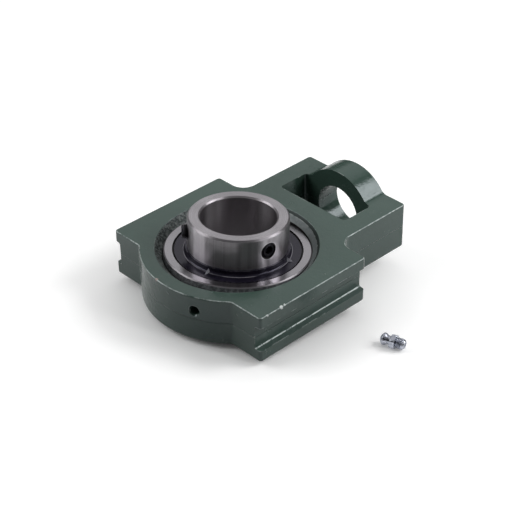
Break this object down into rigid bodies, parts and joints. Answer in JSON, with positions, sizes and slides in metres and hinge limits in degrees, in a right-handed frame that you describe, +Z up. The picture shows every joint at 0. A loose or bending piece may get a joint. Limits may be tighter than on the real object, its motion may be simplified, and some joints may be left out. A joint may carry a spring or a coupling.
{
  "type": "take up bearing unit",
  "caption": "Take-up bearing unit: cast housing with side guide grooves and a screw slot, swivelling wide-ring ball bearing with set screws, and its grease fitting lying loose.",
  "frame": {"origin": "centre of the bearing, on the middle plane of the cast housing", "axes": "+X towards the nut end where the adjusting screw goes in, +Z up out of the housing face, along the housing's own axis"},
  "size_m": [0.1412, 0.1497, 0.0562],
  "materials": {
    "housing_paint": "satin",
    "ring_steel": "satin",
    "ball_steel": "polished",
    "cage_steel": "satin",
    "seal_rubber": "matte",
    "flinger_black": "satin",
    "screw_black": "satin",
    "zinc": "satin"
  },
  "bodies": {
    "housing_body": {"housing": "housing_paint", "grease_fitting_body": "zinc", "grease_fitting_spring": "zinc"},
    "pin_body": {"locating_pin": "ring_steel"},
    "outer_body": {"outer_ring": "ring_steel", "seal_upper": "seal_rubber", "seal_lower": "seal_rubber"},
    "inner_body": {"inner_ring": "ring_steel", "flinger_upper": "flinger_black", "flinger_lower": "flinger_black"},
    "cage_body": {"cage_upper": "cage_steel", "cage_lower": "cage_steel", "cage_rivets": "cage_steel"},
    "ball_1_body": {"ball_1": "ball_steel"},
    "ball_2_body": {"ball_2": "ball_steel"},
    "ball_3_body": {"ball_3": "ball_steel"},
    "ball_4_body": {"ball_4": "ball_steel"},
    "ball_5_body": {"ball_5": "ball_steel"},
    "ball_6_body": {"ball_6": "ball_steel"},
    "ball_7_body": {"ball_7": "ball_steel"},
    "ball_8_body": {"ball_8": "ball_steel"},
    "ball_9_body": {"ball_9": "ball_steel"},
    "set_screw_1_body": {"set_screw_1": "screw_black"},
    "set_screw_2_body": {"set_screw_2": "screw_black"},
    "check_ball_body": {"grease_fitting_ball": "ball_steel"}
  },
  "joints": [
    {"name": "swivel_about_x", "type": "hinge", "parent": "housing_body", "child": "pin_body", "pos_m": [0, 0, 0], "axis": [1, 0, 0], "range_deg": [-4, 6]},
    {"name": "swivel_about_y", "type": "hinge", "parent": "pin_body", "child": "outer_body", "pos_m": [0, 0, 0], "axis": [0, 0.9998, -0.0175], "range_deg": [-8.9, 1.1]},
    {"name": "ring_spin", "type": "hinge", "parent": "outer_body", "child": "inner_body", "pos_m": [0, 0, 0], "axis": [0.068, 0.0174, 0.9975], "continuous": true},
    {"name": "cage_spin", "type": "hinge", "parent": "outer_body", "child": "cage_body", "pos_m": [0, 0, 0], "axis": [0.068, 0.0174, 0.9975], "continuous": true},
    {"name": "ball_1_spin", "type": "hinge", "parent": "cage_body", "child": "ball_1_body", "pos_m": [0.02993, -0.00004, -0.00204], "axis": [0.068, 0.0174, 0.9975], "continuous": true},
    {"name": "ball_2_spin", "type": "hinge", "parent": "cage_body", "child": "ball_2_body", "pos_m": [0.02293, 0.01925, -0.0019], "axis": [0.068, 0.0174, 0.9975], "continuous": true},
    {"name": "ball_3_spin", "type": "hinge", "parent": "cage_body", "child": "ball_3_body", "pos_m": [0.0052, 0.02953, -0.00087], "axis": [0.068, 0.0174, 0.9975], "continuous": true},
    {"name": "ball_4_spin", "type": "hinge", "parent": "cage_body", "child": "ball_4_body", "pos_m": [-0.01497, 0.02599, 0.00057], "axis": [0.068, 0.0174, 0.9975], "continuous": true},
    {"name": "ball_5_spin", "type": "hinge", "parent": "cage_body", "child": "ball_5_body", "pos_m": [-0.02813, 0.01029, 0.00174], "axis": [0.068, 0.0174, 0.9975], "continuous": true},
    {"name": "ball_6_spin", "type": "hinge", "parent": "cage_body", "child": "ball_6_body", "pos_m": [-0.02813, -0.01023, 0.0021], "axis": [0.068, 0.0174, 0.9975], "continuous": true},
    {"name": "ball_7_spin", "type": "hinge", "parent": "cage_body", "child": "ball_7_body", "pos_m": [-0.01497, -0.02596, 0.00147], "axis": [0.068, 0.0174, 0.9975], "continuous": true},
    {"name": "ball_8_spin", "type": "hinge", "parent": "cage_body", "child": "ball_8_body", "pos_m": [0.0052, -0.02955, 0.00016], "axis": [0.068, 0.0174, 0.9975], "continuous": true},
    {"name": "ball_9_spin", "type": "hinge", "parent": "cage_body", "child": "ball_9_body", "pos_m": [0.02293, -0.01931, -0.00123], "axis": [0.068, 0.0174, 0.9975], "continuous": true},
    {"name": "set_screw_1_slide", "type": "slide", "parent": "inner_body", "child": "set_screw_1_body", "axis": [-0.1285, -0.9914, 0.0261], "range_m": [-0.0003, 0.003]},
    {"name": "set_screw_2_slide", "type": "slide", "parent": "inner_body", "child": "set_screw_2_body", "axis": [-0.7926, 0.6082, 0.0434], "range_m": [-0.0032, 0.001]},
    {"name": "check_ball_slide", "type": "slide", "parent": "housing_body", "child": "check_ball_body", "axis": [0.3083, -0.9513, -0.0044], "range_m": [0, 0.0006], "stiffness_N_per_m": 500, "springref_m": -0.0005, "deforming": ["grease_fitting_spring"]}
  ],
  "couplings": [
    {"joint": "cage_spin", "follows": "ring_spin", "ratio": 0.4},
    {"joint": "ball_1_spin", "follows": "ring_spin", "ratio": -2.4},
    {"joint": "ball_2_spin", "follows": "ring_spin", "ratio": -2.4},
    {"joint": "ball_3_spin", "follows": "ring_spin", "ratio": -2.4},
    {"joint": "ball_4_spin", "follows": "ring_spin", "ratio": -2.4},
    {"joint": "ball_5_spin", "follows": "ring_spin", "ratio": -2.4},
    {"joint": "ball_6_spin", "follows": "ring_spin", "ratio": -2.4},
    {"joint": "ball_7_spin", "follows": "ring_spin", "ratio": -2.4},
    {"joint": "ball_8_spin", "follows": "ring_spin", "ratio": -2.4},
    {"joint": "ball_9_spin", "follows": "ring_spin", "ratio": -2.4}
  ]
}
